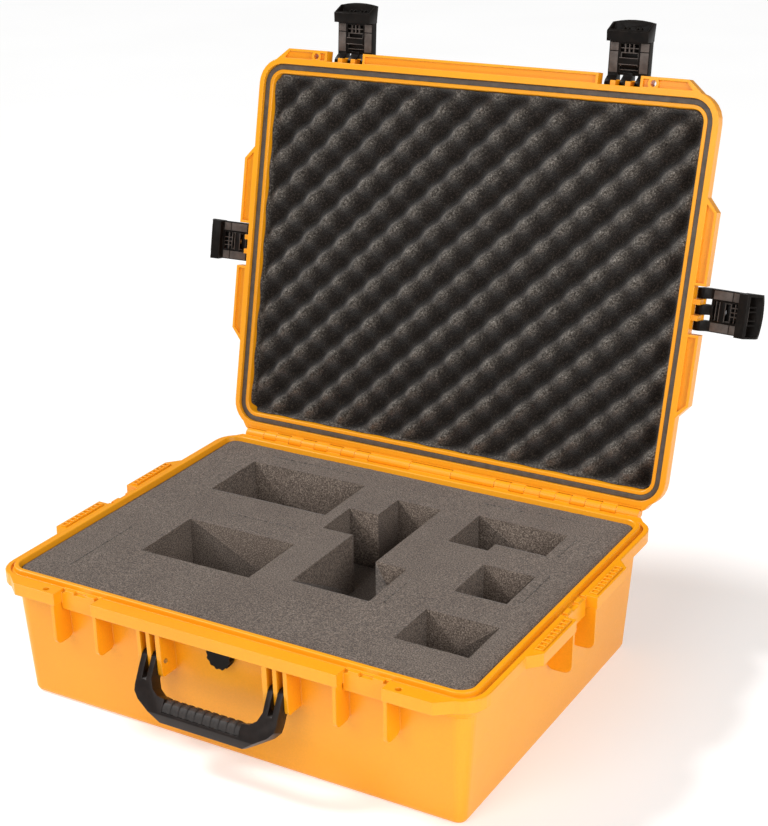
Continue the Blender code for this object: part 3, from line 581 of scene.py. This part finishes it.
def latch_frame(place):
    """Matrix from a latch's own frame, closed, to its place at rest."""
    joint = JOINTS["latch_%s_hinge" % place]
    turn = {"side_left": -math.pi / 2, "side_right": math.pi / 2}.get(place, 0.0)
    opened = math.radians(joint["range_deg"][1])
    facing = Matrix.Rotation(-LID_LEAN, 4, "X") @ Matrix.Rotation(turn, 4, "Z")
    rotation = facing @ Matrix.Rotation(-opened, 4, "X")
    return Matrix.Translation(joint["pos_m"]) @ rotation


def latch_backs(finish):
    """Rubbed pads and thin webs on the inner face of each latch, clear of its button and spring; the webs take the
    pads' paler plastic as a painted highlight.
    """
    blocks = [((-11.2, -9.7, -34.6), (11.2, -4.2, -33.6)), ((-11.2, -9.7, -39.6), (11.2, -4.6, -38.6))]
    blocks.append(((-11.2, -9.7, -15.8), (11.2, -5.5, -14.8)))
    blocks += [((x, -9.7, -44.2), (x + 1.0, -4.2, -33.8)) for x in (-6.5, -1.5, 3.5)]
    blocks += [((x, -5.8, -33.4), (x + 1.0, -4.0, -19.6)) for x in (-10.6, 9.6)]
    blocks += [((-11.0, -1.6, z), (11.0, -0.8, z + 0.8)) for z in (-29.2, -22.1)]
    blocks.append(((-10.6, -1.2, -57.6), (10.6, 0.4, -56.6)))
    for low, high in ((-23.0, -13.2), (13.2, 23.0)):
        blocks.append(((low, -2.9, -35.2), (high, -2.2, -12.5)))
        blocks.append(((low, -2.9, -45.2), (high, -2.2, -36.2)))
    for place in PLACES:
        name = "latch_back_" + place
        mesh = rounded_boxes(name, blocks, 0.2)
        mesh.transform(latch_frame(place))
        piece(name, mesh, "latch_" + place, finish)


def release_springs(finish):
    """Release springs, smooth copies of the CAD springs riding on their latches."""
    for place in PLACES:
        node = "latch_spring_" + place
        mesh = NODES[node].data.copy()
        mesh.shade_smooth()
        made = piece("release_spring_" + place, mesh, "latch_" + place, finish, [node])
        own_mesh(made)


# ---------------------------------------------------------------- studio

def studio():
    """Pale floor, soft lights and an even bright surround."""
    floor_mesh = bpy.data.meshes.new("studio_floor")
    corners = [(x * FLOOR_HALF, y * FLOOR_HALF, 0.0) for x, y in ((-1, -1), (1, -1), (1, 1), (-1, 1))]
    floor_mesh.from_pydata(corners, [], [(0, 1, 2, 3)])
    floor = bpy.data.objects.new("studio_floor", floor_mesh)
    floor.location.z = -FLOOR_DROP
    bpy.context.scene.collection.objects.link(floor)
    paint = Paint("studio_floor")
    colour = paint.ramp(paint.noise(2.0), (0.3, (0.74, 0.74, 0.74)), (0.7, (0.76, 0.76, 0.76)))
    floor_mesh.materials.append(paint.finish(colour, 0.9, Emission_Strength=0.34))
    studio_world()
    bpy.context.scene.view_settings.view_transform = "Standard"
    key = bpy.data.lights.new("key", "SUN")
    key.angle = 0.22
    key.energy = 2.6
    panels = [("key", SUN_FROM, key)]
    for name, place, size, power in SOFT_LIGHTS:
        light = bpy.data.lights.new(name, "AREA")
        light.size = size
        light.energy = power
        panels.append((name, place, light))
    for name, place, light in panels:
        made = bpy.data.objects.new(name, light)
        made.location = place
        aim = Vector(LIGHTS_AIM) - Vector(place)
        made.rotation_euler = aim.to_track_quat("-Z", "Y").to_euler()
        bpy.context.scene.collection.objects.link(made)


def studio_world():
    """Dim even light from all round, seen as plain white behind the case."""
    world = bpy.data.worlds.new("studio")
    world.use_nodes = True
    tree = world.node_tree
    lighting = tree.nodes["Background"]
    lighting.inputs["Color"].default_value = (1.0, 0.995, 0.985, 1.0)
    lighting.inputs["Strength"].default_value = 0.25
    backdrop = tree.nodes.new("ShaderNodeBackground")
    backdrop.inputs["Color"].default_value = (1.0, 1.0, 1.0, 1.0)
    both = tree.nodes.new("ShaderNodeMixShader")
    rays = tree.nodes.new("ShaderNodeLightPath")
    tree.links.new(rays.outputs["Is Camera Ray"], both.inputs[0])
    tree.links.new(lighting.outputs[0], both.inputs[1])
    tree.links.new(backdrop.outputs[0], both.inputs[2])
    tree.links.new(both.outputs[0], tree.nodes["World Output"].inputs["Surface"])
    bpy.context.scene.world = world


# ---------------------------------------------------------------- build

def build():
    """Paints the CAD nodes and adds the finer pieces."""
    finishes = {
        "shell": shell_plastic(),
        "black": black_plastic("latch_plastic", (0.004, 0.003, 0.0024), (0.010, 0.007, 0.0055)),
        # Paler latch plastic for the pads on the latches' inner faces and for their webs; on the webs it is a
        # painted highlight where light from above catches them.
        "rubbed": black_plastic("latch_pale_and_painted_lit_plastic", (0.085, 0.070, 0.062), (0.145, 0.122, 0.110)),
        "handle": black_plastic("handle_plastic", (0.008, 0.005, 0.004), (0.016, 0.010, 0.008), 0.22),
        "grip": grip_rubber(),
        "rubber": seal_rubber(),
        "steel": pin_steel(),
        "foam": base_foam(),
        "lid_foam": lid_foam(),
    }
    for node, obj in NODES.items():
        obj.data.materials.clear()
        obj.data.materials.append(finishes[SLOTS[node]])
        obj.data.shade_smooth()
        obj.data.set_sharp_from_angle(angle=math.radians(30))
    lid_foam_piece(finishes["lid_foam"])
    top_foam_piece(finishes["foam"])
    perforations(finishes["lid_foam"])
    foam_block_piece("foam_lower_layer", "foam_lower_soft", finishes["foam"])
    foam_block_piece("foam_base_pad", "foam_base_soft", finishes["foam"])
    softened("handle_frame", 1.2, 28.0, finishes["handle"], 3)
    softened("handle_grip", 0.5, 28.0, finishes["grip"])
    for place in PLACES:
        softened("latch_" + place, 0.5, 35.0, finishes["black"])
        softened("latch_button_" + place, 0.3, 35.0, finishes["black"])
    wing_ladders(finishes["shell"])
    hinge_cover(finishes["shell"])
    latch_backs(finishes["rubbed"])
    release_springs(finishes["steel"])


camera()
build()
studio()
